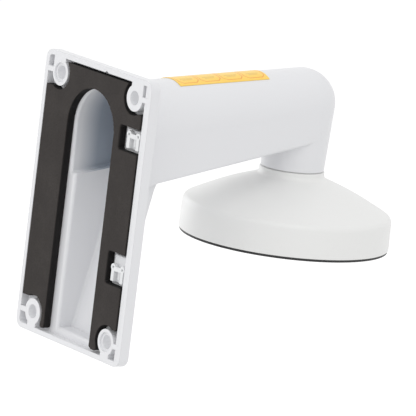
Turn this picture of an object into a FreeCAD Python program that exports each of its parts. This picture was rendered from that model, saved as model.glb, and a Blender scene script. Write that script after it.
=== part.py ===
# Camera wall bracket: a hollow die-cast arm with a wall plate at its root and a round cap below its elbow.
# Millimetres, +Z up. The wall is the plane y = 0 and the arm reaches out toward -Y.
# x = 0 is the middle of the bracket and z = 0 is the middle of the wall plate.
import FreeCAD
import Part

import math
import os

from FreeCAD import Placement, Rotation, Vector

# Wall plate: a shallow tray, open toward the wall, with a rim all round and a ledge along its -X side
plate_width = 119.4
plate_height = 186.2
plate_depth = 7.8
plate_corner_radius = 6.5
plate_front_rounding = 1.6
rim_width = 3.5
tray_depth = 5.5
lip_rounding = 2.6
ledge_width = 3.1
ledge_drop = 0.4
tray_mark_x = -9.1
tray_mark_width = 3.8
tray_mark_height = 1.3
tray_mark_depth = 1.2

# Four bolt bosses in the tray
bolt_inset_x = 17.5
bolt_inset_z = 13.4
bolt_hole_radius = 4.6
boss_radius = 8.6
boss_recess_radius = 6.4
boss_recess_depth = 1.2
boss_web_thickness = 3.4
boss_web_offset = 0.6
boss_tie_half_width = 4.5
boss_top_tie_reach = 8.3

# Foam gasket in the tray
foam_proud = 0.5
foam_side_clearance = 0.6
foam_end_clearance = 1.6
foam_boss_clearance = 2.3
foam_shoulder_drop = 9.2
foam_slot_inset = 0.5
foam_corner_radius = 2.2

# Arm: arched on top, straight sided, narrowing and rising toward the elbow
arm_reach = 166.8
arm_root_radius = 30.0
arm_root_height = 50.4
arm_root_drop = 35.5
arm_elbow_drop = 23.7
arm_bottom_rounding = 2.2
arm_root_fillet = 2.6
casting_wall = 3.5

# Elbow and neck
elbow_radius = 23.1
elbow_height = 69.3
neck_end_radius = 21.2
neck_end_z = 25.3
neck_boss_radius = 4.2
neck_boss_height = 12.0

# Gusset under the arm, hollow as a trough
gusset_root_half_width = 23.4
gusset_side_draft_deg = 3.0
gusset_bottom_gap = 5.1
gusset_bottom_depth = 20.2
gusset_lean_deg = 12.0
gusset_wall = 3.2
gusset_edge_rounding = 5.0
gusset_arm_fillet = 11.0
gusset_arm_sink = 0.3

# Clip pads, and the clips that sit on them
pad_height = 2.2
pad_rounding = 1.2
pad_side_clearance = 2.5
pad_end_clearance = 1.3
notch_upper_drop = 35.0
notch_upper_height = 15.8
notch_upper_inner_x = 31.1
notch_lower_rise = 37.6
notch_lower_height = 21.0
notch_lower_inner_x = 34.2
clip_thickness = 3.0
clip_eyelet_spacing = 10.0
clip_eyelet_radius = 2.35
clip_eyelet_hole_radius = 0.85
clip_leg_width = 3.0
clip_leg_length = 9.0
clip_bar_height = 3.0
clip_tongue_width = 2.0
clip_tongue_length = 5.2
clip_tongue_thickness = 1.4
clip_ledge_gap = 0.25
clip_upper_rise = 11.4
clip_lower_rise = 11.5

# Cap: a dished casting that carries the camera
cap_top_radius = 21.8
cap_collar_height = 4.4
cap_collar_fillet = 4.0
cap_roof_crown = 1.3
cap_shoulder_radius = 70.1
cap_shoulder_z = -1.6
cap_shoulder_rounding = 5.0
cap_rim_radius = 70.6
cap_rim_z = -21.9
cap_rim_chamfer = 0.6
cap_wall = 3.0
cap_flange_thickness = 6.6
cap_bore_radius = 11.2

# Camera screw bosses, ribs and the safety-cord lug inside the cap
camera_screw_pcd = 108.0
camera_screw_count = 3
camera_screw_radius = 2.0
camera_screw_depth = 12.0
camera_boss_radius = 5.2
camera_boss_recess = 4.0
rib_count = 6
rib_thickness = 2.4
rib_height = 5.0
lug_offset = 40.0
lug_thickness = 4.0
lug_width = 11.0
lug_drop = 11.0
lug_hole_radius = 2.6

# Seals: one between neck and cap, one under the cap's rim
seal_thickness = 0.8
seal_inset = 0.6
ring_thickness = 2.2
ring_width = 2.2
ring_inset = 0.7

# Screws that pull the cap up to the neck
cap_screw_count = 3
cap_screw_pcd = 30.4
cap_screw_radius = 2.0
cap_screw_clearance = 0.3
cap_screw_grip = 9.0
cap_screw_tip_gap = 1.2
cap_screw_head_radius = 3.8
cap_screw_head_height = 2.8
cap_screw_head_bevel = 1.0
cap_screw_drive_width = 0.9
cap_screw_drive_length = 4.2
cap_screw_drive_depth = 1.5

# Sticker over the top of the arm
sticker_thickness = 0.3
sticker_glue = 0.1
sticker_start = 58.0
sticker_length = 71.5
sticker_width = 24.0

# Places worked out from the sizes above
rim_y = -foam_proud
floor_y = rim_y - tray_depth
front_y = rim_y - plate_depth
neck_y = -arm_reach
bolt_x = plate_width / 2 - bolt_inset_x
bolt_z = plate_height / 2 - bolt_inset_z
tray_half_x = plate_width / 2 - rim_width
tray_half_z = plate_height / 2 - rim_width
ledge_x = ledge_width - tray_half_x
gusset_bottom_z = gusset_bottom_gap - plate_height / 2
notch_upper_z = bolt_z - notch_upper_drop
notch_lower_z = notch_lower_rise - bolt_z
pad_y = floor_y + pad_height
arm_run = arm_reach + front_y
arm_rise = elbow_height - arm_root_height
arm_length = math.hypot(arm_run, arm_rise)
arm_tilt = math.atan2(arm_rise, arm_run)
neck_fall = elbow_height - neck_end_z
neck_slant = math.hypot(neck_fall, neck_end_radius)
neck_draft = math.asin(elbow_radius / neck_slant) - math.atan2(neck_end_radius, neck_fall)
cap_top_z = neck_end_z - seal_thickness
cap_collar_z = cap_top_z - cap_collar_height
cap_flange_z = cap_top_z - cap_flange_thickness
cap_slope = math.atan2(cap_collar_z - cap_shoulder_z, cap_shoulder_radius - cap_top_radius)
cap_roof_wall = cap_wall / math.cos(cap_slope)
camera_seat_z = cap_rim_z + camera_boss_recess
spare = 1.0


def box(x0, x1, y0, y1, z0, z1):
    return Part.makeBox(x1 - x0, y1 - y0, z1 - z0, Vector(x0, y0, z0))


def rod_along_y(radius, x, z, y0, y1):
    return Part.makeCylinder(radius, y1 - y0, Vector(x, y0, z), Vector(0, 1, 0))


def upright_rods(radius, spots, z0, z1):
    return [Part.makeCylinder(radius, z1 - z0, Vector(spot.x, spot.y, z0)) for spot in spots]


def round_neck(reach, count, first_deg):
    """Spots evenly spaced on a circle about the neck's axis."""
    spots = []
    for index in range(count):
        angle = math.radians(first_deg + 360 * index / count)
        spots.append(Vector(reach * math.cos(angle), neck_y + reach * math.sin(angle), 0))
    return spots


def middle_of(edge):
    return edge.valueAt((edge.FirstParameter + edge.LastParameter) / 2)


def rounded_plate(half_x, half_z, radius, y0, y1):
    """A block with its four edges along Y rounded, between two planes of y."""
    block = box(-half_x, half_x, y0, y1, -half_z, half_z)
    corners = [edge for edge in block.Edges if edge.BoundBox.YLength > (y1 - y0) / 2]
    return block.makeFillet(radius, corners)


def face_of(points):
    """A flat face from its corners in order; a pair in the list is an arc's middle and end."""
    edges = []
    here = points[0]
    for item in points[1:] + [points[0]]:
        if isinstance(item, tuple):
            edges.append(Part.Arc(here, item[0], item[1]).toShape())
            here = item[1]
        else:
            edges.append(Part.LineSegment(here, item).toShape())
            here = item
    return Part.Face(Part.Wire(edges))


def turned(points, x=0.0, y=neck_y):
    """A solid turned about an upright axis, from corners and arcs given as radius and height."""
    def at(radius, z):
        return Vector(x + radius, y, z)

    corners = []
    for item in points:
        is_arc = isinstance(item[0], tuple)
        corners.append((at(*item[0]), at(*item[1])) if is_arc else at(*item))
    return face_of(corners).revolve(Vector(x, y, 0), Vector(0, 0, 1), 360)


# Arm, elbow and neck. Each is made twice: as its outside, and inset by the wall as its hollow.
def arch_wire(radius, drop, corner):
    """Arm section in its own plane: arch on top, drafted sides, flat bottom with rounded corners."""
    lean = math.sin(neck_draft)
    upright = math.cos(neck_draft)
    side = Vector(radius * upright, 0, -radius * lean)
    foot = Vector(side.x - (drop - radius * lean) * math.tan(neck_draft), 0, -drop)
    setback = corner / math.tan((math.radians(90) + neck_draft) / 2)
    low = foot - Vector(setback, 0, 0)
    high = foot + Vector(lean, 0, upright) * setback
    centre = low + Vector(0, 0, corner)
    bend = centre + (foot - centre).normalize() * corner

    def flip(point):
        return Vector(-point.x, point.y, point.z)

    return Part.Wire([
        Part.LineSegment(flip(low), low).toShape(),
        Part.Arc(low, bend, high).toShape(),
        Part.LineSegment(high, side).toShape(),
        Part.Arc(side, Vector(0, 0, radius), flip(side)).toShape(),
        Part.LineSegment(flip(side), flip(high)).toShape(),
        Part.Arc(flip(high), flip(bend), flip(low)).toShape(),
    ])


def arm_drop(station):
    """Distance from the arm's axis to its underside; a station is measured from the elbow to the root."""
    return arm_elbow_drop + (arm_root_drop - arm_elbow_drop) * station / arm_length


def arm_solid(inset, behind_front):
    """The tapered arm, from behind the plate's front to where its arch touches the elbow's ball."""
    root_radius = arm_root_radius - inset
    ball_radius = elbow_radius - inset
    taper = math.acos(ball_radius / math.hypot(root_radius, arm_length)) - math.atan2(arm_length, root_radius)
    corner = max(arm_bottom_rounding - inset, arm_bottom_rounding / 2)
    along = Vector(0, -math.cos(arm_tilt), math.sin(arm_tilt))
    elbow = Vector(0, neck_y, elbow_height)
    wires = []
    for station in (arm_length + behind_front, -ball_radius * math.sin(taper)):
        radius = (ball_radius + station * math.sin(taper)) / math.cos(taper)
        wire = arch_wire(radius, arm_drop(station) - inset, corner)
        turn = Rotation(Vector(1, 0, 0), -math.degrees(arm_tilt))
        wire.Placement = Placement(elbow - along * station, turn)
        wires.append(wire)
    return Part.makeLoft(wires, True, True)


def neck_solid(inset, end_z):
    """The elbow's ball with the tapered neck below it."""
    ball = elbow_radius - inset
    end_radius = (ball - (elbow_height - end_z) * math.sin(neck_draft)) / math.cos(neck_draft)
    touch = (ball * math.cos(neck_draft), elbow_height - ball * math.sin(neck_draft))
    bend = (ball * math.sqrt(0.5), elbow_height + ball * math.sqrt(0.5))
    return turned([(0, end_z), (end_radius, end_z), touch, (bend, (0, elbow_height + ball))])


def arm_underside(station):
    """A point on the middle of the arm's underside."""
    drop = arm_drop(station)
    y = neck_y + station * math.cos(arm_tilt) - drop * math.sin(arm_tilt)
    z = elbow_height - station * math.sin(arm_tilt) - drop * math.cos(arm_tilt)
    return Vector(0, y, z)


def underside_forward():
    return (arm_underside(0) - arm_underside(arm_length)).normalize()


def gusset_solid(inset, sink):
    """Leaning wedge below the arm with drafted sides; its front curves forward into the arm's underside."""
    lean = math.radians(gusset_lean_deg)
    up = Vector(0, -math.sin(lean), math.cos(lean))
    bottom_z = gusset_bottom_z + inset
    behind = rim_y + spare
    foot = Vector(0, inset / math.cos(lean) - gusset_bottom_depth, gusset_bottom_z)
    foot += up * (inset / up.z)
    forward = underside_forward()
    buried = arm_underside(arm_length) + Vector(0, 0, sink)
    reach = ((foot.y - buried.y) * up.z - (foot.z - buried.z) * up.y) / (forward.y * up.z - forward.z * up.y)
    meeting = buried + forward * reach
    setback = gusset_arm_fillet / math.tan((math.radians(90) + lean + math.asin(forward.z)) / 2)
    start = meeting - up * setback
    end = meeting + forward * setback
    centre = start + Vector(0, -up.z, up.y) * gusset_arm_fillet
    bend = centre + (meeting - centre).normalize() * gusset_arm_fillet
    nose = end + forward * gusset_arm_fillet / 2
    top_z = arm_root_height
    half = gusset_root_half_width - inset
    side = face_of([
        Vector(0, behind, bottom_z),
        foot,
        start,
        (bend, end),
        nose,
        Vector(0, nose.y, top_z),
        Vector(0, behind, top_z),
    ])
    side.translate(Vector(-2 * half, 0, 0))
    prism = side.extrude(Vector(4 * half, 0, 0))
    slope = math.tan(math.radians(gusset_side_draft_deg))
    back_half = half + (behind - front_y) * slope
    deep_y = nose.y - spare
    deep_half = half - (front_y - deep_y) * slope
    draft = face_of([
        Vector(-back_half, behind, bottom_z),
        Vector(back_half, behind, bottom_z),
        Vector(deep_half, deep_y, bottom_z),
        Vector(-deep_half, deep_y, bottom_z),
    ]).extrude(Vector(0, 0, top_z - bottom_z))
    wedge = prism.common(draft)
    rounding = max(gusset_edge_rounding - inset, gusset_edge_rounding / 3)
    front_edges = []
    for edge in wedge.Edges:
        spot = middle_of(edge)
        across = edge.BoundBox.XLength > half
        if bottom_z + spare < spot.z < nose.z and spot.y < front_y and not across:
            front_edges.append(edge)
    return wedge.makeFillet(rounding, front_edges)


def root_edges(shape):
    """Where arm and gusset stand on the plate, and where the gusset meets the arm's underside."""
    forward = underside_forward()
    normal = Vector(0, forward.z, -forward.y)
    root = arm_underside(arm_length)
    reach = arm_root_radius + plate_front_rounding

    def on_underside(point):
        return abs((point - root).dot(normal)) < 1e-3

    chosen = []
    for edge in shape.Edges:
        spot = middle_of(edge)
        bounds = edge.BoundBox
        outside = bounds.XMin > -reach and bounds.XMax < reach and bounds.YMax < front_y + 1e-4
        on_plate = bounds.YMin > front_y - 1e-4 and spot.z > gusset_bottom_z + 1e-3
        flat = on_underside(spot) and on_underside(edge.Vertexes[0].Point)
        on_arm = flat and abs(spot.x) < gusset_root_half_width and spot.y > neck_y / 2
        if outside and (on_plate or on_arm):
            chosen.append(edge)
    return chosen


# Details of the wall plate
def at_each_bolt(make):
    return [make(sign_x, sign_z) for sign_x in (-1, 1) for sign_z in (-1, 1)]


def bolt_boss(sign_x, sign_z):
    """Post for a wall bolt, tied to the rim by a web at its side and by a block at its end."""
    x = sign_x * bolt_x
    z = sign_z * bolt_z
    post = rod_along_y(boss_radius, x, z, floor_y - spare, rim_y)
    web_z = z + sign_z * boss_web_offset
    low_x, high_x = sorted([x, sign_x * (tray_half_x + spare)])
    half = boss_web_thickness / 2
    web = box(low_x, high_x, floor_y - spare, rim_y, web_z - half, web_z + half)
    tie_reach = boss_top_tie_reach if sign_z > 0 else boss_tie_half_width
    low_x, high_x = sorted([x - sign_x * boss_tie_half_width, x + sign_x * tie_reach])
    low_z, high_z = sorted([z, sign_z * (tray_half_z + spare)])
    tie = box(low_x, high_x, floor_y - spare, rim_y, low_z, high_z)
    corner = plate_corner_radius - spare
    room = rounded_plate(tray_half_x + spare, tray_half_z + spare, corner, front_y, rim_y)
    return post.fuse([web, tie]).common(room)


def bolt_hole(sign_x, sign_z):
    """Through hole; in two opposite corners it also has a shallow recess toward the wall."""
    x = sign_x * bolt_x
    z = sign_z * bolt_z
    hole = rod_along_y(bolt_hole_radius, x, z, front_y - spare, rim_y + spare)
    if sign_x == sign_z:
        hole = hole.fuse(rod_along_y(boss_recess_radius, x, z, rim_y - boss_recess_depth, rim_y + spare))
    return hole


# The two places on the -X side where the foam makes room for a clip: lower end, height and inner edge
notches = [
    (notch_upper_z, notch_upper_height, -notch_upper_inner_x),
    (notch_lower_z, notch_lower_height, -notch_lower_inner_x),
]


def clip_pad(bottom, height, inner_x):
    """Raised pad for a clip, rounded at its inner corners and along its free top edges."""
    end_x = inner_x - pad_side_clearance
    pad = box(-tray_half_x - spare, end_x, floor_y - spare, pad_y, bottom + pad_end_clearance,
              bottom + height - pad_end_clearance)
    upright = [edge for edge in pad.Edges if edge.BoundBox.YLength > pad_height]
    pad = pad.makeFillet(pad_rounding, [edge for edge in upright if middle_of(edge).x > end_x - 1e-6])
    top = [edge for edge in pad.Edges if edge.BoundBox.YMin > pad_y - 1e-6]
    return pad.makeFillet(pad_rounding, [edge for edge in top if middle_of(edge).x > -tray_half_x])


def tray_mark():
    """Small arrow head cut into the inner edge of the top rim."""
    y = rim_y - tray_mark_depth
    half = tray_mark_width / 2
    outline = face_of([
        Vector(tray_mark_x - half, y, tray_half_z - spare),
        Vector(tray_mark_x + half, y, tray_half_z - spare),
        Vector(tray_mark_x + half, y, tray_half_z),
        Vector(tray_mark_x, y, tray_half_z + tray_mark_height),
        Vector(tray_mark_x - half, y, tray_half_z),
    ])
    return outline.extrude(Vector(0, tray_mark_depth + spare, 0))


def arm_casting():
    plate = rounded_plate(plate_width / 2, plate_height / 2, plate_corner_radius, front_y, rim_y)
    front = [edge for edge in plate.Edges if edge.BoundBox.YMax < front_y + 1e-6]
    plate = plate.makeFillet(plate_front_rounding, front)
    behind = plate_depth + spare
    outside = plate.fuse([
        arm_solid(0, behind),
        neck_solid(0, neck_end_z),
        gusset_solid(0, gusset_arm_sink),
    ]).removeSplitter()
    outside = outside.makeFillet(arm_root_fillet, root_edges(outside))

    tray_corner = plate_corner_radius - rim_width
    tray = rounded_plate(tray_half_x, tray_half_z, tray_corner, floor_y, floor_y + 2 * behind)
    hollow = arm_solid(casting_wall, 2 * behind).fuse([
        neck_solid(casting_wall, neck_end_z - spare),
        gusset_solid(gusset_wall, casting_wall + lip_rounding),
    ])
    casting = outside.cut([tray, hollow]).removeSplitter()
    lip = []
    for edge in casting.Edges:
        bounds = edge.BoundBox
        on_floor = abs(bounds.YMin - floor_y) < 1e-4 and abs(bounds.YMax - floor_y) < 1e-4
        if on_floor and bounds.XMin > -arm_root_radius and bounds.XMax < arm_root_radius:
            lip.append(edge)
    casting = casting.makeFillet(lip_rounding, lip)

    spots = round_neck(cap_screw_pcd / 2, cap_screw_count, 90)
    neck_room = neck_solid(casting_wall / 2, neck_end_z)
    neck_bosses = upright_rods(neck_boss_radius, spots, neck_end_z, neck_end_z + neck_boss_height)
    neck_bosses = [boss.common(neck_room) for boss in neck_bosses]
    ledge = box(-tray_half_x - spare, ledge_x, floor_y - spare, rim_y - ledge_drop, -tray_half_z, tray_half_z)
    pads = [clip_pad(*notch) for notch in notches]
    casting = casting.fuse([ledge] + at_each_bolt(bolt_boss) + pads + neck_bosses)
    screw_top = neck_end_z + cap_screw_grip + cap_screw_tip_gap
    screw_holes = upright_rods(cap_screw_radius, spots, neck_end_z - spare, screw_top)
    return casting.cut(at_each_bolt(bolt_hole) + screw_holes + [tray_mark()]).removeSplitter()


def wall_gasket():
    """Foam sheet as an upside-down U round the slot, between the ledge and the rim on the other side."""
    left = ledge_x + foam_side_clearance
    right = tray_half_x - foam_side_clearance
    middle = (left + right) / 2
    half_z = tray_half_z - foam_end_clearance
    foam = rounded_plate((right - left) / 2, half_z, foam_corner_radius, floor_y, 0)
    foam.translate(Vector(middle, 0, 0))
    slot_half = arm_root_radius - casting_wall - foam_slot_inset
    back = floor_y - spare
    beyond = plate_height
    slot = box(middle - slot_half, middle + slot_half, back, spare, -beyond, arm_root_height)
    arch = rod_along_y(slot_half, middle, arm_root_height, back, spare)

    def boss_room(sign_x, sign_z):
        x = sign_x * bolt_x
        z = sign_z * bolt_z
        low_x, high_x = sorted([x, sign_x * beyond])
        low_z, high_z = sorted([sign_z * (bolt_z - foam_shoulder_drop), sign_z * beyond])
        outer = box(low_x, high_x, back, spare, low_z, high_z)
        return outer.fuse(rod_along_y(boss_radius + foam_boss_clearance, x, z, back, spare))

    clip_rooms = []
    for bottom, height, inner_x in notches:
        clip_rooms.append(box(-beyond, inner_x, back, spare, bottom, bottom + height))
    foam = foam.cut([slot.fuse(arch)] + at_each_bolt(boss_room) + clip_rooms)
    ends = []
    for edge in foam.Edges:
        if edge.BoundBox.YLength > tray_depth and middle_of(edge).z < 1e-3 - half_z:
            ends.append(edge)
    return foam.makeFillet(foam_corner_radius, ends)


def edge_clip(eyelet_z):
    """Moulded clip: two eyelets joined by a bar, a leg below each, and a thinner tongue between the legs."""
    outer_x = ledge_x + clip_ledge_gap + clip_eyelet_radius
    inner_x = outer_x + clip_eyelet_spacing
    middle_x = (outer_x + inner_x) / 2
    top_y = pad_y + clip_thickness
    half_leg = clip_leg_width / 2
    half_tongue = clip_tongue_width / 2
    bar_z = eyelet_z + clip_eyelet_radius / 3
    under_bar_z = bar_z - clip_bar_height
    bar = box(outer_x, inner_x, pad_y, top_y, under_bar_z, bar_z)
    tongue = box(middle_x - half_tongue, middle_x + half_tongue, pad_y, pad_y + clip_tongue_thickness,
                 under_bar_z - clip_tongue_length, bar_z - clip_bar_height / 2)
    pieces = [tongue]
    holes = []
    for x in (outer_x, inner_x):
        pieces.append(rod_along_y(clip_eyelet_radius, x, eyelet_z, pad_y, top_y))
        pieces.append(box(x - half_leg, x + half_leg, pad_y, top_y, eyelet_z - clip_leg_length, eyelet_z))
        holes.append(rod_along_y(clip_eyelet_hole_radius, x, eyelet_z, pad_y - spare, top_y + spare))
    return bar.fuse(pieces).cut(holes).removeSplitter()


# Cap under the neck
def cap_roof(radius):
    """Height of the straight line from the foot of the collar to the shoulder, which the inside follows."""
    share = (radius - cap_top_radius) / (cap_shoulder_radius - cap_top_radius)
    return cap_collar_z + (cap_shoulder_z - cap_collar_z) * share


def roof_circle():
    """Centre and radius of the shallow arc that crowns the outside of the roof."""
    collar = Vector(cap_top_radius, 0, cap_collar_z)
    shoulder = Vector(cap_shoulder_radius, 0, cap_shoulder_z)
    chord = shoulder - collar
    radius = ((chord.Length / 2) ** 2 + cap_roof_crown ** 2) / (2 * cap_roof_crown)
    inward = Vector(chord.z, 0, -chord.x).normalize()
    return (collar + shoulder) / 2 + inward * (radius - cap_roof_crown), radius


def roof_blend(side, up, radius):
    """Arc that touches a straight side and the roof: its end on the side, its middle and its end on the roof.

    A negative radius makes a hollow corner, as at the foot of the collar.
    """
    roof_centre, roof_radius = roof_circle()
    inward = Vector(-up.z, 0, up.x)
    start = side + inward * radius
    away = start - roof_centre
    rise = away.dot(up)
    reach = roof_radius - radius
    centre = start + up * (math.sqrt(rise * rise - away.dot(away) + reach * reach) - rise)
    on_side = centre - inward * radius
    on_roof = roof_centre + (centre - roof_centre).normalize() * roof_radius
    middle = centre + (on_side + on_roof - centre * 2).normalize() * abs(radius)
    return [(point.x, point.z) for point in (on_side, middle, on_roof)]


def cap_hollow(grown):
    """The dish under the roof as a solid, grown into the wall by a given amount."""
    wall = cap_wall - grown
    lower = cap_roof_wall - grown
    shoulder = cap_shoulder_radius - wall
    flange_z = cap_flange_z + grown
    return turned([
        (0, cap_rim_z - spare),
        (cap_rim_radius - wall, cap_rim_z - spare),
        (cap_rim_radius - wall, cap_rim_z),
        (shoulder, cap_roof(shoulder) - lower),
        (cap_top_radius, cap_roof(cap_top_radius) - lower),
        (cap_top_radius, flange_z),
        (0, flange_z),
    ])


def cap_ribs():
    """Radial ribs whose lower edges follow the roof, from the flange to the skirt."""
    inner = cap_top_radius - spare
    outer = cap_shoulder_radius - cap_wall / 2
    lower = cap_roof_wall + rib_height
    band = turned([
        (inner, cap_roof(inner) - lower),
        (outer, cap_roof(outer) - lower),
        (outer, cap_roof(outer) - cap_wall / 2),
        (inner, cap_roof(inner) - cap_wall / 2),
    ])
    ribs = []
    for index in range(rib_count):
        blade = box(0, 2 * cap_rim_radius, neck_y - rib_thickness / 2, neck_y + rib_thickness / 2,
                    cap_rim_z, cap_top_z)
        blade.rotate(Vector(0, neck_y, 0), Vector(0, 0, 1), 30 + 360 * index / rib_count)
        ribs.append(band.common(blade))
    return ribs


def cap_lug(room):
    """Cast ear under the roof that the camera's safety cord hooks on."""
    half = lug_width / 2
    roof_z = cap_roof(lug_offset)
    ear_z = roof_z - cap_roof_wall - lug_drop + half
    ear = box(lug_offset - lug_thickness / 2, lug_offset + lug_thickness / 2, neck_y - half, neck_y + half,
              ear_z, roof_z)
    tip = Part.makeCylinder(half, lug_thickness, Vector(lug_offset - lug_thickness / 2, neck_y, ear_z),
                            Vector(1, 0, 0))
    hole = Part.makeCylinder(lug_hole_radius, lug_thickness + 2 * spare,
                             Vector(lug_offset - lug_thickness / 2 - spare, neck_y, ear_z), Vector(1, 0, 0))
    return ear.fuse(tip).cut(hole).common(room)


def adapter_cap():
    rim = Vector(cap_rim_radius, 0, cap_rim_z)
    shoulder = Vector(cap_shoulder_radius, 0, cap_shoulder_z)
    collar = Vector(cap_top_radius, 0, cap_collar_z)
    up_skirt = (shoulder - rim).normalize()
    foot, hollow_bend, roof_start = roof_blend(collar, Vector(0, 0, 1), -cap_collar_fillet)
    skirt_top, bend, roof_end = roof_blend(shoulder, up_skirt, cap_shoulder_rounding)
    roof_centre, roof_radius = roof_circle()
    crown = roof_centre + ((collar + shoulder) / 2 - roof_centre).normalize() * roof_radius
    edge = rim + up_skirt * cap_rim_chamfer
    outside = turned([
        (cap_bore_radius, cap_rim_z),
        (cap_bore_radius, cap_top_z),
        (cap_top_radius, cap_top_z),
        foot,
        (hollow_bend, roof_start),
        ((crown.x, crown.z), roof_end),
        (bend, skirt_top),
        (edge.x, edge.z),
        (cap_rim_radius - cap_rim_chamfer, cap_rim_z),
    ])
    cap = outside.cut(cap_hollow(0))
    room = cap_hollow(cap_wall / 2)
    camera_spots = round_neck(camera_screw_pcd / 2, camera_screw_count, 30)
    bosses = upright_rods(camera_boss_radius, camera_spots, camera_seat_z, cap_top_z)
    bosses = [boss.common(room) for boss in bosses]
    cap = cap.fuse(bosses + cap_ribs() + [cap_lug(room)])
    screw_spots = round_neck(cap_screw_pcd / 2, cap_screw_count, 90)
    clear_radius = cap_screw_radius + cap_screw_clearance
    clear = upright_rods(clear_radius, screw_spots, cap_flange_z - spare, cap_top_z + spare)
    thread_top = camera_seat_z + camera_screw_depth
    threads = upright_rods(camera_screw_radius, camera_spots, camera_seat_z - spare, thread_top)
    return cap.cut(clear + threads).removeSplitter()


def neck_seal():
    outer = neck_end_radius - seal_inset
    seal = turned([
        (cap_bore_radius, cap_top_z),
        (outer, cap_top_z),
        (outer, neck_end_z),
        (cap_bore_radius, neck_end_z),
    ])
    spots = round_neck(cap_screw_pcd / 2, cap_screw_count, 90)
    clear_radius = cap_screw_radius + cap_screw_clearance
    return seal.cut(upright_rods(clear_radius, spots, cap_top_z - spare, neck_end_z + spare))


def camera_gasket():
    outer = cap_rim_radius - ring_inset
    inner = outer - ring_width
    under = cap_rim_z - ring_thickness
    return turned([(inner, under), (outer, under), (outer, cap_rim_z), (inner, cap_rim_z)])


def cap_screw(x, y):
    """Pan-head screw with a cross recess, put in upward from inside the cap."""
    seat_z = cap_flange_z
    head_z = seat_z - cap_screw_head_height
    tip_z = neck_end_z + cap_screw_grip
    screw = turned([
        (0, head_z),
        (cap_screw_head_radius - cap_screw_head_bevel, head_z),
        (cap_screw_head_radius, head_z + cap_screw_head_bevel),
        (cap_screw_head_radius, seat_z),
        (cap_screw_radius, seat_z),
        (cap_screw_radius, tip_z - cap_screw_radius / 2),
        (cap_screw_radius / 2, tip_z),
        (0, tip_z),
    ], x, y)
    long_half = cap_screw_drive_length / 2
    short_half = cap_screw_drive_width / 2
    under = head_z - spare
    deep_z = head_z + cap_screw_drive_depth
    cross = box(x - long_half, x + long_half, y - short_half, y + short_half, under, deep_z)
    cross = cross.fuse(box(x - short_half, x + short_half, y - long_half, y + long_half, under, deep_z))
    return screw.cut(cross)


def cap_screws():
    spots = round_neck(cap_screw_pcd / 2, cap_screw_count, 90)
    return Part.makeCompound([cap_screw(spot.x, spot.y) for spot in spots])


def top_sticker():
    """Thin sheet wrapped over the arm's arch."""
    skin = arm_solid(-sticker_glue - sticker_thickness, 0).cut(arm_solid(-sticker_glue, spare))
    half = sticker_width / 2
    end_y = -sticker_start - sticker_length
    above = elbow_height + 2 * elbow_radius
    return skin.common(box(-half, half, end_y, -sticker_start, arm_root_height, above))


nodes = {
    "arm_casting": arm_casting(),
    "wall_gasket": wall_gasket(),
    "edge_clip_upper": edge_clip(notch_upper_z + clip_upper_rise),
    "edge_clip_lower": edge_clip(notch_lower_z + clip_lower_rise),
    "adapter_cap": adapter_cap(),
    "neck_seal": neck_seal(),
    "camera_gasket": camera_gasket(),
    "cap_screws": cap_screws(),
    "top_sticker": top_sticker(),
}

os.makedirs("parts", exist_ok=True)
for name, shape in nodes.items():
    shape.exportStep("parts/" + name + ".step")
    print(name, "solids", len(shape.Solids), "valid", shape.isValid(), "volume", round(shape.Volume, 1))
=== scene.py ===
import math

import bmesh
import bpy
import numpy as np
from mathutils import Matrix, Vector, noise


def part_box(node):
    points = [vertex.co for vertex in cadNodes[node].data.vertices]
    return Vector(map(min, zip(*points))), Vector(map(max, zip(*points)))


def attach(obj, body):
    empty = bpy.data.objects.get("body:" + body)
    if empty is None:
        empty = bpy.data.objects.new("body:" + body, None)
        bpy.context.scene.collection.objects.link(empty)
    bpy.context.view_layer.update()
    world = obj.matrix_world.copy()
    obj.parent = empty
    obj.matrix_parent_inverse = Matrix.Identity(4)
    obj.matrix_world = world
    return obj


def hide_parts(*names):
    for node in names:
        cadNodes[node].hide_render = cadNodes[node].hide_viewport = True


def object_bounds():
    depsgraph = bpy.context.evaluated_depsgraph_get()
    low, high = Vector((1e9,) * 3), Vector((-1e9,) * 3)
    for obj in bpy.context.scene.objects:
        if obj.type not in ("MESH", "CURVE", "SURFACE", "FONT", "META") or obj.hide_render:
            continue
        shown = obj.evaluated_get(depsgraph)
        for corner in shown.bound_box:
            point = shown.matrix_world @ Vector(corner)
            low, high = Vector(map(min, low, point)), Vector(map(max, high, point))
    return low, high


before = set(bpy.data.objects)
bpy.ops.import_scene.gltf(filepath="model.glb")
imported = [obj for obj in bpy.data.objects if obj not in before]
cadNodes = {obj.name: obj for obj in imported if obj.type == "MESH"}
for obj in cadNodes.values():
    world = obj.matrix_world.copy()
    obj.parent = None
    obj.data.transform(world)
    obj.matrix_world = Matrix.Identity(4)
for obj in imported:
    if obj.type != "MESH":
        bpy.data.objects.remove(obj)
cadBox = [list(corner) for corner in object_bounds()]
mm = 0.001
weldReach = 0.002 * mm
bevelSamples = 6
noiseMiddle = 0.5
facets = {"corner": 8, "turned": 192, "small": 40, "eye": 32}
smoothAngles = {"casting": 24, "turned": 30, "foam": 60}  # degrees
turns = {"ribs": math.radians(30), "bosses": math.radians(30), "screws": math.radians(90)}  # of the first one
print("frame loaded:", ", ".join(sorted(cadNodes)))


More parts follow.
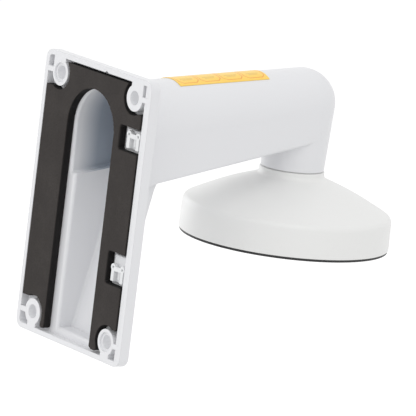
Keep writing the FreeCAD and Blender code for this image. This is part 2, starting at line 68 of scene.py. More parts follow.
# Graphs: one wrapper for shader trees and geometry trees
class Link:
    def __init__(self, graph, socket):
        self.graph = graph
        self.socket = socket

    def __add__(self, other):
        return self.graph.maths("ADD", self, other)

    def __radd__(self, other):
        return self.graph.maths("ADD", other, self)

    def __sub__(self, other):
        return self.graph.maths("SUBTRACT", self, other)

    def __rsub__(self, other):
        return self.graph.maths("SUBTRACT", other, self)

    def __mul__(self, other):
        return self.graph.maths("MULTIPLY", self, other)

    def __truediv__(self, other):
        return self.graph.maths("DIVIDE", self, other)

    def __neg__(self):
        return self.graph.maths("MULTIPLY", self, -1.0)

    def __abs__(self):
        return self.graph.maths("ABSOLUTE", self)

    def __lt__(self, other):
        return self.graph.maths("LESS_THAN", self, other)

    def __gt__(self, other):
        return self.graph.maths("GREATER_THAN", self, other)


class Graph:
    def __init__(self, tree):
        self.tree = tree

    def maths(self, operation, *values):
        return self.node("ShaderNodeMath", {"operation": operation}, dict(enumerate(values)))

    def node(self, kind, settings=None, values=None, output=0):
        made = self.tree.nodes.new(kind)
        for name, value in (settings or {}).items():
            setattr(made, name, value)
        for name, value in (values or {}).items():
            for item in value if isinstance(value, list) else [value]:
                if isinstance(item, Link):
                    self.tree.links.new(item.socket, made.inputs[name])
                else:
                    made.inputs[name].default_value = item
        return Link(self, made.outputs[output]) if len(made.outputs) else None

    def parts(self, link):
        split = self.tree.nodes.new("ShaderNodeSeparateXYZ")
        self.tree.links.new(link.socket, split.inputs[0])
        return [Link(self, socket) for socket in split.outputs]


# Geometry trees for the turned and the repeated pieces
class Builder(Graph):
    def __init__(self, name, sizes):
        super().__init__(bpy.data.node_groups.new(name, "GeometryNodeTree"))
        self.tree.is_modifier = True
        face = self.tree.interface
        face.new_socket("Geometry", in_out="OUTPUT", socket_type="NodeSocketGeometry")
        for label, value in sizes.items():
            kind = "NodeSocketInt" if isinstance(value, int) else "NodeSocketFloat"
            face.new_socket(label, in_out="INPUT", socket_type=kind)
        entry = self.tree.nodes.new("NodeGroupInput")
        self.sizes = {label: Link(self, entry.outputs[label]) for label in sizes}
        self.name = name
        self.values = sizes

    def __getitem__(self, label):
        return self.sizes[label]

    def point(self, x, y, z=0.0):
        return self.node("ShaderNodeCombineXYZ", values={0: x, 1: y, 2: z})

    def outline(self, corners):  # each corner is (across, up, rounding)
        count = len(corners)
        line = self.node("GeometryNodeCurvePrimitiveLine", values={"End": (1.0, 0.0, 0.0)})
        line = self.node("GeometryNodeResampleCurve", values={"Curve": line, "Count": count})
        index = self.node("GeometryNodeInputIndex")
        chosen = []
        for kind in ("VECTOR", "FLOAT"):
            switch = self.tree.nodes.new("GeometryNodeIndexSwitch")
            switch.data_type = kind
            while len(switch.index_switch_items) < count:
                switch.index_switch_items.new()
            self.tree.links.new(index.socket, switch.inputs[0])
            for place, (across, up, rounding) in enumerate(corners):
                value = self.point(across, up) if kind == "VECTOR" else rounding
                socket = switch.inputs[place + 1]
                if isinstance(value, Link):
                    self.tree.links.new(value.socket, socket)
                else:
                    socket.default_value = value
            chosen.append(Link(self, switch.outputs[0]))
        line = self.node("GeometryNodeSetPosition", values={"Geometry": line, "Position": chosen[0]})
        line = self.node("GeometryNodeSetSplineCyclic", values={"Geometry": line, "Cyclic": True})
        values = {"Curve": line, "Count": facets["corner"], "Radius": chosen[1], "Limit Radius": True}
        return self.node("GeometryNodeFilletCurve", {"mode": "POLY"}, values)

    def turned(self, corners, segments):  # corners are (radius, height, rounding) about the upright axis
        carrier = 1.0  # radius of the circle that carries the outline
        shifted = [(across - carrier, -up, rounding) for across, up, rounding in corners]
        ring = self.circle(segments, carrier)
        profile = self.outline(shifted)
        return self.node("GeometryNodeCurveToMesh", values={"Curve": ring, "Profile Curve": profile})

    def circle(self, segments, radius):
        values = {"Resolution": segments, "Radius": radius}
        return self.node("GeometryNodeCurvePrimitiveCircle", values=values)

    def moved(self, shape, shift, turn=(0.0, 0.0, 0.0)):
        return self.node("GeometryNodeTransform",
                         values={"Geometry": shape, "Translation": shift, "Rotation": turn})

    def joined(self, *shapes):
        return self.node("GeometryNodeJoinGeometry", values={0: list(reversed(shapes))})

    def around(self, shape, count, reach, firstTurn):  # copies of a shape at the origin that faces +X
        ring = self.node("GeometryNodeMeshCircle", values={"Vertices": count, "Radius": reach})
        ring = self.moved(ring, (0.0, 0.0, 0.0), (0.0, 0.0, firstTurn))
        x, y = self.parts(self.node("GeometryNodeInputPosition"))[:2]
        turn = self.point(0.0, 0.0, self.maths("ARCTAN2", y, x))
        return self.node("GeometryNodeInstanceOnPoints",
                         values={"Points": ring, "Instance": shape, "Rotation": turn})

    def piece(self, shape, material, node, slotName):
        shape = self.node("GeometryNodeRealizeInstances", values={"Geometry": shape})
        shape = self.node("GeometryNodeSetMaterial", values={"Geometry": shape, "Material": material})
        end = self.tree.nodes.new("NodeGroupOutput")
        self.tree.links.new(shape.socket, end.inputs[0])
        made = bpy.data.objects.new(self.name, bpy.data.meshes.new(self.name))
        bpy.context.scene.collection.objects.link(made)
        modifier = made.modifiers.new("build", "NODES")
        modifier.node_group = self.tree
        for item in self.tree.interface.items_tree:
            if item.in_out == "INPUT":
                modifier[item.identifier] = self.values[item.name]
        takeModifiers(made)
        smoothByAngle(made.data, smoothAngles["turned"])
        standFor(made, node)


def takeModifiers(piece):  # the evaluated result becomes the piece's plain mesh
    bpy.context.view_layer.update()
    graph = bpy.context.evaluated_depsgraph_get()
    result = bpy.data.meshes.new_from_object(piece.evaluated_get(graph), depsgraph=graph)
    piece.modifiers.clear()
    piece.data = result


def smoothByAngle(mesh, degrees):
    mesh.polygons.foreach_set("use_smooth", [True] * len(mesh.polygons))
    mesh.set_sharp_from_angle(angle=math.radians(degrees))


def standFor(piece, node):
    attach(piece, "root")
    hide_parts(node)


def mergedCopy(node, name):  # a CAD node is loose triangles, so its copy is merged before it is smoothed
    mesh = cadNodes[node].data.copy()
    mesh.name = name
    for attribute in ("custom_normal", "sharp_face", "sharp_edge"):
        if attribute in mesh.attributes:
            mesh.attributes.remove(mesh.attributes[attribute])
    work = bmesh.new()
    work.from_mesh(mesh)
    bmesh.ops.remove_doubles(work, verts=work.verts, dist=weldReach)
    work.to_mesh(mesh)
    work.free()
    piece = bpy.data.objects.new(name, mesh)
    bpy.context.scene.collection.objects.link(piece)
    return piece


# Materials
class Finish(Graph):
    def __init__(self, name):
        self.material = bpy.data.materials.new(name)
        self.material.use_nodes = True
        super().__init__(self.material.node_tree)
        self.tree.nodes.clear()
        self.place = self.node("ShaderNodeTexCoord", output=3)

    def clouds(self, size, detail, rough, stretch=(1.0, 1.0, 1.0)):
        where = self.node("ShaderNodeMapping", values={"Vector": self.place, "Scale": stretch})
        return self.node("ShaderNodeTexNoise",
                         values={"Vector": where, "Scale": 1.0 / size, "Detail": detail, "Roughness": rough})

    def mix(self, share, first, second):
        made = self.tree.nodes.new("ShaderNodeMix")
        made.data_type = "RGBA"
        for socket, value in zip((made.inputs[0], made.inputs[6], made.inputs[7]), (share, first, second)):
            if isinstance(value, Link):
                self.tree.links.new(value.socket, socket)
            else:
                socket.default_value = (*value, 1.0) if isinstance(value, tuple) else value
        return Link(self, made.outputs[2])

    def clamped(self, value, low, high):
        return self.node("ShaderNodeMapRange", values={"Value": value, "From Min": low, "From Max": high})

    def finished(self, **sockets):
        names = {"color": "Base Color", "roughness": "Roughness", "metallic": "Metallic", "normal": "Normal",
                 "coat": "Coat Weight", "coatRoughness": "Coat Roughness", "specular": "Specular IOR Level"}
        values = {names[key]: value for key, value in sockets.items()}
        body = self.node("ShaderNodeBsdfPrincipled", values=values)
        self.node("ShaderNodeOutputMaterial", values={"Surface": body})
        return self.material


def bumped(finish, height, depth, strength, edge=0.0):
    values = {"Height": height, "Distance": depth, "Strength": strength}
    if edge:  # a worked edge is never razor sharp, so the shading rounds it
        values["Normal"] = finish.node("ShaderNodeBevel", {"samples": bevelSamples}, {"Radius": edge})
    return finish.node("ShaderNodeBump", values=values)


# In the finishes, a cloud is (size, detail, roughness) and a stretch if any, a bump is (depth, strength) and
# an edge if any, and a range says where a cloud starts to show and where it shows in full
paint = {
    "arm": (0.795, 0.799, 0.818),
    "cap": (0.838, 0.840, 0.830),
    "dust": (0.72, 0.71, 0.69),
    "peel": (0.9 * mm, 2.0, 0.45),
    "cloud": (38 * mm, 4.0, 0.55),
    "speck": (2.6 * mm, 5.0, 0.7),
    "waves": (11 * mm, 2.0, 0.4),
    "dustRange": (0.55, 0.78),
    "dustShare": 0.22,
    "roughness": 0.36,
    "cloudRoughness": 0.16,
    "speckRoughness": 0.08,
    "bump": (0.05 * mm, 0.35, 0.45 * mm),
}


# Painted shade in the arm's hollow: the paint turns a darker bluish grey deeper inside, standing in for the
# shade there. The arm's hollow, in a greyer finish that brings it near the photo's tones. The hollow rises
# and narrows from the root to the elbow
cavityShade = {
    "shade": (0.345, 0.395, 0.465),
    "rootY": -8.3 * mm,
    "elbowY": -166.8 * mm,
    "rootHeight": 50.4 * mm,
    "rise": 18.9 * mm,
    "rootRadius": 28.2 * mm,  # between the outer and the inner face
    "taper": 6.9 * mm,
    "rootDrop": 33.7 * mm,
    "dropTaper": 11.8 * mm,
    "start": -11 * mm,
    "full": -25 * mm,
    "end": -150 * mm,
    "most": 0.9,
}


# how much painted shade: none near the mouth, most deep inside the arm's hollow
def cavityShadeShare(finish):
    x, y, z = finish.parts(finish.place)
    along = (cavityShade["rootY"] - y) / (cavityShade["rootY"] - cavityShade["elbowY"])
    above = z - cavityShade["rootHeight"] - along * cavityShade["rise"]
    crown = finish.maths("MAXIMUM", above, 0.0)
    reach = finish.maths("SQRT", x * x + crown * crown)
    within = (reach < cavityShade["rootRadius"] - along * cavityShade["taper"]) * (y > cavityShade["end"])
    within = within * (above > along * cavityShade["dropTaper"] - cavityShade["rootDrop"])
    return within * finish.clamped(y, cavityShade["start"], cavityShade["full"]) * cavityShade["most"]


def paintFinish(name, shade, shadeCavity=False):  # powder coat: orange peel, faint clouding, a trace of dust, and for the arm painted shade in its hollow
    finish = Finish(name)
    peel = finish.clouds(*paint["peel"])
    cloud = finish.clouds(*paint["cloud"])
    speck = finish.clouds(*paint["speck"])
    dust = finish.clamped(cloud * 0.5 + speck * 0.5, *paint["dustRange"])
    color = finish.mix(dust * paint["dustShare"], shade, paint["dust"])
    # painted shade: the paint darkens to a bluish grey deeper in the arm's hollow
    if shadeCavity:
        color = finish.mix(cavityShadeShare(finish), color, cavityShade["shade"])
    rough = paint["roughness"] + (cloud - noiseMiddle) * paint["cloudRoughness"]
    rough = rough + (speck - noiseMiddle) * paint["speckRoughness"]
    waves = finish.clouds(*paint["waves"])
    height = peel * 0.5 + waves * 0.5
    return finish.finished(color=color, roughness=rough, normal=bumped(finish, height, *paint["bump"]))


foam = {
    "shade": (0.040, 0.035, 0.033),
    "bloom": (0.064, 0.057, 0.053),
    "pit": (0.018, 0.016, 0.015),
    "cut": (0.010, 0.009, 0.009),  # painted shade on the sheet's cut sides
    "cell": 0.75 * mm,
    "fine": (0.35 * mm, 3.0, 0.6),
    "cloud": (22 * mm, 4.0, 0.6),
    "bloomRange": (0.42, 0.72),
    "bloomShare": 0.45,
    "fineShare": 0.5,
    "pitRange": (0.55, 0.15),
    "pitShare": 0.45,
    "cutRange": (0.75, 0.25),
    "cellHeight": 0.7,
    "fineHeight": 0.3,
    "roughness": 0.86,
    "fineRoughness": 0.2,
    "specular": 0.25,
    "bump": (0.12 * mm, 0.7),
    "voxel": 0.8 * mm,
    "relax": 0.5,
    "relaxSteps": 2,
    "waviness": 0.12 * mm,
    "wave": 14 * mm,
    "ripple": 3 * mm,
    "rippleShare": 0.4,
    "pull": 0.7,  # shares of the waviness: what every point moves in, and what the waves change
    "pullChange": 0.6,
}


def foamFinish():  # closed-cell foam: fine cells, a dusty bloom, darker pits where cells were cut, and painted shade on the sheet's sides
    finish = Finish("closedCellFoam")
    values = {"Vector": finish.place, "Scale": 1.0 / foam["cell"]}
    cells = finish.node("ShaderNodeTexVoronoi", {"feature": "F1"}, values)
    fine = finish.clouds(*foam["fine"])
    cloud = finish.clouds(*foam["cloud"])
    bloom = finish.clamped(cloud, *foam["bloomRange"])
    pits = finish.clamped(cells, *foam["pitRange"])
    share = bloom * foam["bloomShare"] + (fine - noiseMiddle) * foam["fineShare"]
    color = finish.mix(share, foam["shade"], foam["bloom"])
    color = finish.mix(pits * foam["pitShare"], color, foam["pit"])
    through = finish.parts(finish.node("ShaderNodeTexCoord", output=1))[1]  # the normal, through the sheet
    # painted shade: the sheet's cut sides, facing across it, are darker than its front and back
    color = finish.mix(finish.clamped(abs(through), *foam["cutRange"]), color, foam["cut"])
    height = cells * foam["cellHeight"] + fine * foam["fineHeight"]
    rough = foam["roughness"] + (fine - noiseMiddle) * foam["fineRoughness"]
    return finish.finished(color=color, roughness=rough, specular=foam["specular"],
                           normal=bumped(finish, height, *foam["bump"]))


clip = {
    "shade": (0.80, 0.81, 0.82),
    "flowShade": (0.70, 0.71, 0.72),
    "flow": (3.0 * mm, 3.0, 0.5, (1.0, 1.0, 0.35)),
    "fine": (0.5 * mm, 2.0, 0.5),
    "flowRange": (0.4, 0.75),
    "flowShare": 0.4,
    "roughness": 0.34,
    "flowRoughness": 0.15,
    "bump": (0.02 * mm, 0.4, 0.3 * mm),
}


def clipFinish():  # moulded white plastic with a faint flow pattern
    finish = Finish("clipPlastic")
    flow = finish.clouds(*clip["flow"])
    fine = finish.clouds(*clip["fine"])
    share = finish.clamped(flow, *clip["flowRange"]) * clip["flowShare"]
    color = finish.mix(share, clip["shade"], clip["flowShade"])
    rough = clip["roughness"] + (flow - noiseMiddle) * clip["flowRoughness"]
    return finish.finished(color=color, roughness=rough, normal=bumped(finish, fine, *clip["bump"]))


seal = {
    "blackRubber": ((0.012, 0.012, 0.013), (0.035, 0.034, 0.033)),  # body and bloom
    "greySilicone": ((0.58, 0.58, 0.58), (0.50, 0.50, 0.49)),
    "cloud": (7 * mm, 4.0, 0.6),
    "fine": (0.4 * mm, 2.0, 0.5),
    "bloomRange": (0.45, 0.8),
    "bloomShare": 0.6,
    "roughness": 0.55,
    "cloudRoughness": 0.25,
    "bump": (0.03 * mm, 0.5),
}


def sealFinish(name):
    finish = Finish(name)
    body, bloom = seal[name]
    cloud = finish.clouds(*seal["cloud"])
    fine = finish.clouds(*seal["fine"])
    color = finish.mix(finish.clamped(cloud, *seal["bloomRange"]) * seal["bloomShare"], body, bloom)
    rough = seal["roughness"] + (cloud - noiseMiddle) * seal["cloudRoughness"]
    return finish.finished(color=color, roughness=rough, normal=bumped(finish, fine, *seal["bump"]))


zinc = {
    "bright": (0.62, 0.62, 0.60),
    "dull": (0.45, 0.45, 0.46),
    "turning": (0.25 * mm, 2.0, 0.5, (1.0, 1.0, 6.0)),
    "patch": (1.8 * mm, 4.0, 0.6),
    "patchRange": (0.4, 0.75),
    "roughness": 0.28,  # where the patches begin
    "patchRoughness": 0.4,
    "bump": (0.015 * mm, 0.5),
}


def screwFinish():  # zinc-plated steel, turned, with a few dull patches
    finish = Finish("zincedSteel")
    turning = finish.clouds(*zinc["turning"])
    patch = finish.clouds(*zinc["patch"])
    color = finish.mix(finish.clamped(patch, *zinc["patchRange"]), zinc["bright"], zinc["dull"])
    rough = zinc["roughness"] + (patch - zinc["patchRange"][0]) * zinc["patchRoughness"]
    return finish.finished(color=color, metallic=1.0, roughness=rough,
                           normal=bumped(finish, turning, *zinc["bump"]))


# A plain yellow sticker: four blank framed panels, with bars where a print would be
sticker = {
    "panels": 4,
    "edgeMargin": 1.6 * mm,
    "panelGap": 1.9 * mm,
    "sideMargin": 2.2 * mm,
    "corner": 2.6 * mm,
    "line": 0.55 * mm,
    "inkEdge": (0.6 * mm, 2.0, 0.5),
    "inkRagged": 0.12 * mm,
    "bars": ((0.42, 0.055, 0.62), (0.60, 0.04, 0.46)),  # place, half thickness, half length in half panels
    "ground": (0.985, 0.64, 0.085),
    "paleGround": (0.98, 0.72, 0.22),
    "frame": (0.86, 0.23, 0.02),
    "bar": (0.52, 0.30, 0.05),
    "fade": (9 * mm, 3.0, 0.5),
    "fadeRange": (0.4, 0.75),
    "fadeShare": 0.25,
    "barShare": 0.45,
    "frameShare": 0.85,
    "fine": (0.7 * mm, 2.0, 0.5),
    "roughness": 0.38,
    "fadeRoughness": 0.12,
    "coat": 0.25,
    "coatRoughness": 0.2,
    "bump": (0.01 * mm, 0.3),
}


def stickerFinish():
    finish = Finish("yellowSticker")
    low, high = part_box("top_sticker")
    length = high.y - low.y
    pitch = (length - 2 * sticker["edgeMargin"] + sticker["panelGap"]) / sticker["panels"]
    halfLong = (pitch - sticker["panelGap"]) / 2
    halfWide = high.x - sticker["sideMargin"]
    x, y = finish.parts(finish.place)[:2]
    along = (high.y - sticker["edgeMargin"] + sticker["panelGap"] / 2) - y
    step = finish.maths("FLOOR", along / pitch)
    mid = along - (step + 0.5) * pitch
    across = abs(x)
    longGap = abs(mid) - halfLong
    wideGap = across - halfWide
    cornerGap = (longGap + wideGap + sticker["corner"]) * math.sqrt(0.5)
    gap = finish.maths("MAXIMUM", finish.maths("MAXIMUM", longGap, wideGap), cornerGap)
    inkEdge = finish.clouds(*sticker["inkEdge"])
    line = abs(gap) < sticker["line"] / 2 + (inkEdge - noiseMiddle) * sticker["inkRagged"]
    within = (step > -0.5) * (step < sticker["panels"] - 0.5)
    bars = 0.0
    for place, thick, half in sticker["bars"]:
        bar = (abs(across - place * halfWide) < thick * halfWide) * (abs(mid) < half * halfLong)
        bars = bar + bars
    fade = finish.clouds(*sticker["fade"])
    share = finish.clamped(fade, *sticker["fadeRange"]) * sticker["fadeShare"]
    ground = finish.mix(share, sticker["ground"], sticker["paleGround"])
    share = finish.maths("MINIMUM", bars, 1.0) * within * sticker["barShare"]
    color = finish.mix(share, ground, sticker["bar"])
    color = finish.mix(line * within * sticker["frameShare"], color, sticker["frame"])
    fine = finish.clouds(*sticker["fine"])
    rough = sticker["roughness"] + (fade - noiseMiddle) * sticker["fadeRoughness"]
    normal = bumped(finish, fine, *sticker["bump"])
    return finish.finished(color=color, roughness=rough, normal=normal, coat=sticker["coat"],
                           coatRoughness=sticker["coatRoughness"])


armPaint = paintFinish("armPaint", paint["arm"], shadeCavity=True)
capPaint = paintFinish("capPaint", paint["cap"])
foamSkinAndSideShade = foamFinish()
clipPlastic = clipFinish()
rubber = sealFinish("blackRubber")
silicone = sealFinish("greySilicone")
steel = screwFinish()
stickerSkin = stickerFinish()
print("materials made")


def dress(node, material):
    slots = cadNodes[node].data.materials
    slots.clear()
    slots.append(material)


finishes = {
    "arm_casting": armPaint,
    "wall_gasket": foamSkinAndSideShade,
    "edge_clip_upper": clipPlastic,
    "edge_clip_lower": clipPlastic,
    "top_sticker": stickerSkin,
    "neck_seal": silicone,
    "adapter_cap": capPaint,
    "camera_gasket": rubber,
    "cap_screws": steel,
}
for node, material in finishes.items():
    dress(node, material)


# The arm, elbow and wall plate in one casting, smoothed over its rounded faces
def armShell():
    piece = mergedCopy("arm_casting", "armShell")
    smoothByAngle(piece.data, smoothAngles["casting"])
    weights = piece.modifiers.new("faceWeights", "WEIGHTED_NORMAL")
    weights.keep_sharp = True
    takeModifiers(piece)
    standFor(piece, "arm_casting")


armShell()
print("arm casting smoothed")


# The foam sheet, soft at its cut edges and a little uneven
def foamSheet():
    piece = mergedCopy("wall_gasket", "foamSheet")
    low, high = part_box("wall_gasket")
    cells = piece.modifiers.new("cells", "REMESH")
    cells.mode = "VOXEL"
    cells.voxel_size = foam["voxel"]
    relax = piece.modifiers.new("relax", "SMOOTH")
    relax.factor = foam["relax"]
    relax.iterations = foam["relaxSteps"]
    takeModifiers(piece)
    spots = [vertex.co.copy() for vertex in piece.data.vertices]
    facing = [Vector(item.vector) for item in piece.data.vertex_normals]
    moved = []
    for spot, normal in zip(spots, facing):
        wave = noise.noise(spot / foam["wave"]) + foam["rippleShare"] * noise.noise(spot / foam["ripple"])
        moved.append(spot - normal * foam["waviness"] * (foam["pull"] + foam["pullChange"] * wave))
    inside = np.clip(np.array(moved), low, high)
    piece.data.vertices.foreach_set("co", inside.astype(np.float32).ravel())
    smoothByAngle(piece.data, smoothAngles["foam"])
    piece.data.materials.clear()
    piece.data.materials.append(foamSkinAndSideShade)
    standFor(piece, "wall_gasket")


foamSheet()
print("foam sheet made")


# The cap: a turned shell with its ribs, screw bosses and lug, all from one tree
capLow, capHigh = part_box("adapter_cap")
cap = {
    "neckY": (capLow.y + capHigh.y) / 2,
    "rimRadius": (capHigh.x - capLow.x) / 2,
    "rimHeight": capLow.z - 0.5 * mm,  # the ring looks that much thinner in the photo
    "topHeight": capHigh.z,
    "topRadius": 21.8 * mm,
    "boreRadius": 11.2 * mm,
    "collarDrop": 4.4 * mm,
    "collarRounding": 4.0 * mm,
    "shoulderInset": 0.5 * mm,
    "shoulderHeight": -1.6 * mm,
    "shoulderRounding": 5.0 * mm,
    "crown": 1.85 * mm,
    "crownRounding": 220.0 * mm,
    "rimRounding": 0.6 * mm,
    "wall": 3.0 * mm,
    "roofWall": 3.29 * mm,
    "flange": 6.6 * mm,
    "insideRounding": 2.5 * mm,
    "ribCount": 6,
    "ribThickness": 2.4 * mm,
    "ribHeight": 5.0 * mm,
    "bossCount": 3,
    "bossReach": 54.0 * mm,
    "bossRadius": 5.2 * mm,
    "bossBore": 2.0 * mm,
    "bossRecess": 4.0 * mm,
    "lugReach": 40.0 * mm,
    "lugThickness": 4.0 * mm,
    "lugHalfWidth": 5.5 * mm,
    "lugDrop": 11.0 * mm,
    "lugBore": 2.6 * mm,
}


def capShell():
    tree = Builder("capShell", cap)
    collarZ = tree["topHeight"] - tree["collarDrop"]
    shoulderR = tree["rimRadius"] - tree["shoulderInset"]
    slope = (tree["shoulderHeight"] - collarZ) / (shoulderR - tree["topRadius"])

    def roof(radius):
        return collarZ + (radius - tree["topRadius"]) * slope

    midR = (tree["topRadius"] + shoulderR) / 2
    innerR = shoulderR - tree["wall"]
    flangeZ = tree["topHeight"] - tree["flange"]
    small = tree["rimRounding"]
    shell = tree.turned([
        (tree["boreRadius"], flangeZ, small),
        (tree["boreRadius"], tree["topHeight"], small),
        (tree["topRadius"], tree["topHeight"], small),
        (tree["topRadius"], collarZ, tree["collarRounding"]),
        (midR, roof(midR) + tree["crown"], tree["crownRounding"]),
        (shoulderR, tree["shoulderHeight"], tree["shoulderRounding"]),
        (tree["rimRadius"], tree["rimHeight"], small),
        (tree["rimRadius"] - tree["wall"], tree["rimHeight"], small),
        (innerR, roof(innerR) - tree["roofWall"], tree["insideRounding"]),
        (tree["topRadius"], roof(tree["topRadius"]) - tree["roofWall"], small),
        (tree["topRadius"], flangeZ, 0.0),
    ], facets["turned"])
    ribLength = innerR - tree["topRadius"] + tree["wall"] / 2
    ribMid = tree["topRadius"] + ribLength / 2
    rib = tree.node("GeometryNodeMeshCube", values={
        "Size": tree.point(ribLength, tree["ribThickness"], tree["ribHeight"] + tree["wall"] / 2)})
    x = tree.parts(tree.node("GeometryNodeInputPosition"))[0]
    ribZ = roof(ribMid) - tree["roofWall"] - tree["ribHeight"] / 2 + tree["wall"] / 4
    rib = tree.node("GeometryNodeSetPosition",
                    values={"Geometry": rib, "Offset": tree.point(0.0, 0.0, x * slope + ribZ)})
    ribs = tree.around(rib, tree["ribCount"], ribMid, turns["ribs"])
    bossTop = roof(tree["bossReach"]) - tree["roofWall"] / 2
    boss = tree.turned([
        (tree["bossBore"], bossTop, 0.0),
        (tree["bossRadius"], bossTop, 0.0),
        (tree["bossRadius"], tree["rimHeight"] + tree["bossRecess"], small / 2),
        (tree["bossBore"], tree["rimHeight"] + tree["bossRecess"], small / 3),
    ], facets["small"])
    bosses = tree.around(boss, tree["bossCount"], tree["bossReach"], turns["bosses"])
    lugTop = roof(tree["lugReach"]) - tree["roofWall"] / 2
    lugEye = roof(tree["lugReach"]) - tree["roofWall"] - tree["lugDrop"] + tree["lugHalfWidth"]
    lugEnd = lugEye - tree["lugHalfWidth"]
    ear = tree.outline([
        (tree["lugHalfWidth"], lugTop, 0.0),
        (-tree["lugHalfWidth"], lugTop, 0.0),
        (-tree["lugHalfWidth"], lugEnd, tree["lugHalfWidth"]),
        (tree["lugHalfWidth"], lugEnd, tree["lugHalfWidth"]),
    ])
    eye = tree.moved(tree.circle(facets["eye"], tree["lugBore"]), tree.point(0.0, lugEye))
    sheet = tree.node("GeometryNodeFillCurve", {"mode": "TRIANGLES"}, {"Curve": tree.joined(ear, eye)})
    body = tree.node("GeometryNodeExtrudeMesh",
                     values={"Mesh": sheet, "Offset Scale": tree["lugThickness"], "Individual": False})
    lug = tree.joined(body, tree.node("GeometryNodeFlipFaces", values={"Mesh": sheet}))
    lug = tree.node("GeometryNodeMergeByDistance", values={"Geometry": lug, "Distance": weldReach})
    lug = tree.moved(lug, tree.point(tree["lugReach"] - tree["lugThickness"] / 2, 0.0),
                     (math.pi / 2, 0.0, math.pi / 2))
    whole = tree.joined(shell, ribs, bosses, lug)
    whole = tree.moved(whole, tree.point(0.0, tree["neckY"]))
    tree.piece(whole, capPaint, "adapter_cap", "cap_paint")


capShell()
print("cap turned")


# The ring under the cap's rim, a rubber strip with soft edges
ringLow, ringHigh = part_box("camera_gasket")
ring = {
    "neckY": cap["neckY"],
    "outerRadius": (ringHigh.x - ringLow.x) / 2,
    "width": 2.2 * mm,
    "low": ringLow.z,
    "high": cap["rimHeight"],
    "rounding": 0.45 * mm,
}


def rimRing():
    tree = Builder("rimRing", ring)
    inner = tree["outerRadius"] - tree["width"]
    strip = tree.turned([
        (inner, tree["low"], tree["rounding"]),
        (inner, tree["high"], tree["rounding"] / 4),
        (tree["outerRadius"], tree["high"], tree["rounding"] / 4),
        (tree["outerRadius"], tree["low"], tree["rounding"]),
    ], facets["turned"])
    strip = tree.moved(strip, tree.point(0.0, tree["neckY"]))
    tree.piece(strip, rubber, "camera_gasket", "seal_rubber")


rimRing()
print("rim ring made")


# Three pan-head screws under the flange, each with a cross recess
screwLow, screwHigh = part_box("cap_screws")
screws = {
    "neckY": cap["neckY"],
    "count": 3,
    "reach": 15.2 * mm,
    "headRadius": 3.8 * mm,
    "headHeight": 2.8 * mm,
    "dome": 1.5 * mm,
    "seatRounding": 0.15 * mm,
    "shankRadius": 2.0 * mm,
    "axisRadius": 0.02 * mm,  # where the outline closes on the axis
    "point": 1.0 * mm,
    "low": screwLow.z,
    "high": screwHigh.z,
    "slotLength": 4.2 * mm,
    "slotWidth": 0.9 * mm,
    "slotDepth": 1.5 * mm,
}


def capScrews():
    tree = Builder("capScrewSet", screws)
    seat = tree["low"] + tree["headHeight"]
    screw = tree.turned([
        (tree["axisRadius"], tree["low"], 0.0),
        (tree["headRadius"], tree["low"], tree["dome"]),
        (tree["headRadius"], seat, tree["seatRounding"]),
        (tree["shankRadius"], seat, 0.0),
        (tree["shankRadius"], tree["high"] - tree["point"], 0.0),
        (tree["shankRadius"] / 2, tree["high"], 0.0),
        (tree["axisRadius"], tree["high"], 0.0),
    ], facets["small"])
    blade = tree.node("GeometryNodeMeshCube", values={
        "Size": tree.point(tree["slotLength"], tree["slotWidth"], tree["slotDepth"] * 2)})
    blade = tree.moved(blade, tree.point(0.0, 0.0, tree["low"]))
    cross = tree.moved(blade, (0.0, 0.0, 0.0), (0.0, 0.0, math.pi / 2))
    cut = tree.node("GeometryNodeMeshBoolean", {"operation": "DIFFERENCE", "solver": "EXACT"},
                    {"Mesh 1": screw, "Mesh 2": [blade, cross]})
    placed = tree.around(cut, tree["count"], tree["reach"], turns["screws"])
    placed = tree.moved(placed, tree.point(0.0, tree["neckY"]))
    tree.piece(placed, steel, "cap_screws", "screw_steel")


capScrews()
print("cap screws made")


# Floor, light and camera
studio = {
    "floorDrop": 0.32,
    "floorSize": 14.0,
    "floorShade": 0.86,
    "floorGlow": 0.29,
    "sky": 0.86,
    "lamps": {
        "key": ((-1.6, 0.9, 2.6), 13.0, 2.2),  # place, watts, size
        "fill": ((0.5, 2.3, 1.2), 6.0, 1.4),
        "side": ((2.4, 0.2, 0.4), 11.5, 1.6),
    },
}
view = {
    "target": (-0.057, -0.058, 0.011),
    "azimuth": 232.81,  # degrees; 0 looks along +Y
    "elevation": 10.41,
    "roll": 7.03,
    "distance": 3.0,
    "lens": 404.5,
    "sensor": 36.0,
}


def seenWhite(graph):  # 1 for a ray that the picture, a reflection or a glass shows
    rays = graph.tree.nodes.new("ShaderNodeLightPath").outputs
    kinds = ("Is Camera Ray", "Is Glossy Ray", "Is Transmission Ray")
    picture, reflection, glass = (Link(graph, rays[kind]) for kind in kinds)
    return graph.maths("MINIMUM", picture + reflection + glass, 1.0)


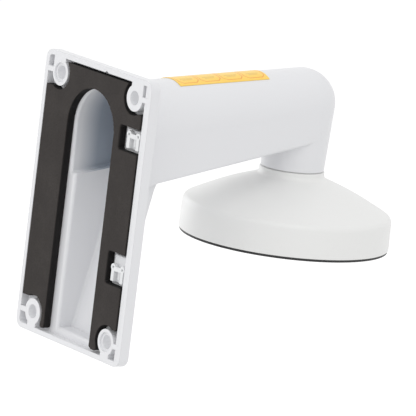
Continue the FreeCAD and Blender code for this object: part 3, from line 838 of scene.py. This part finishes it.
def addFloor():
    mesh = bpy.data.meshes.new("floor")
    half = studio["floorSize"] / 2
    low = cadBox[0][2] - studio["floorDrop"]
    mesh.from_pydata([(-half, -half, low), (half, -half, low), (half, half, low), (-half, half, low)], [],
                     [(0, 1, 2, 3)])
    floor = bpy.data.objects.new("floor", mesh)
    bpy.context.scene.collection.objects.link(floor)
    finish = Finish("paleFloor")
    shade = studio["floorShade"]
    body = finish.node("ShaderNodeBsdfDiffuse", values={"Color": (shade, shade, shade, 1.0)})
    glow = finish.node("ShaderNodeEmission", values={"Strength": seenWhite(finish) * studio["floorGlow"]})
    both = finish.node("ShaderNodeAddShader", values={0: body, 1: glow})
    below = finish.node("ShaderNodeNewGeometry", output=6)  # from below, the floor lets the object be seen
    clear = finish.node("ShaderNodeBsdfTransparent")
    both = finish.node("ShaderNodeMixShader", values={0: below, 1: both, 2: clear})
    finish.node("ShaderNodeOutputMaterial", values={"Surface": both})
    mesh.materials.append(finish.material)


def addLight():
    world = bpy.data.worlds.new("studio")
    world.use_nodes = True
    bpy.context.scene.world = world
    graph = Graph(world.node_tree)
    graph.tree.nodes.clear()
    strength = studio["sky"] + seenWhite(graph) * (1.0 - studio["sky"])
    sky = graph.node("ShaderNodeBackground", values={"Color": (1.0, 1.0, 1.0, 1.0), "Strength": strength})
    graph.node("ShaderNodeOutputWorld", values={"Surface": sky})
    for name, (place, watts, size) in studio["lamps"].items():
        lamp = bpy.data.lights.new(name, "AREA")
        lamp.energy = watts
        lamp.size = size
        stand = bpy.data.objects.new(name, lamp)
        stand.location = place
        stand.rotation_euler = (-Vector(place)).to_track_quat("-Z", "Y").to_euler()
        bpy.context.scene.collection.objects.link(stand)


def addCamera():
    azimuth, elevation, roll = (math.radians(view[name]) for name in ("azimuth", "elevation", "roll"))
    forward = Vector((-math.sin(azimuth) * math.cos(elevation), math.cos(azimuth) * math.cos(elevation),
                      -math.sin(elevation)))
    level = forward.cross(Vector((0.0, 0.0, 1.0))).normalized()
    rise = level.cross(forward)
    right = level * math.cos(roll) + rise * math.sin(roll)
    up = right.cross(forward)
    lens = bpy.data.cameras.new("photoView")
    lens.lens = view["lens"]
    lens.sensor_width = view["sensor"]
    camera = bpy.data.objects.new("photoView", lens)
    turn = Matrix((right, up, -forward)).transposed().to_4x4()
    camera.matrix_world = Matrix.Translation(Vector(view["target"]) - forward * view["distance"]) @ turn
    bpy.context.scene.collection.objects.link(camera)
    bpy.context.scene.camera = camera


addFloor()
addLight()
addCamera()
bpy.context.scene.view_settings.view_transform = "Standard"
print("studio and camera set")
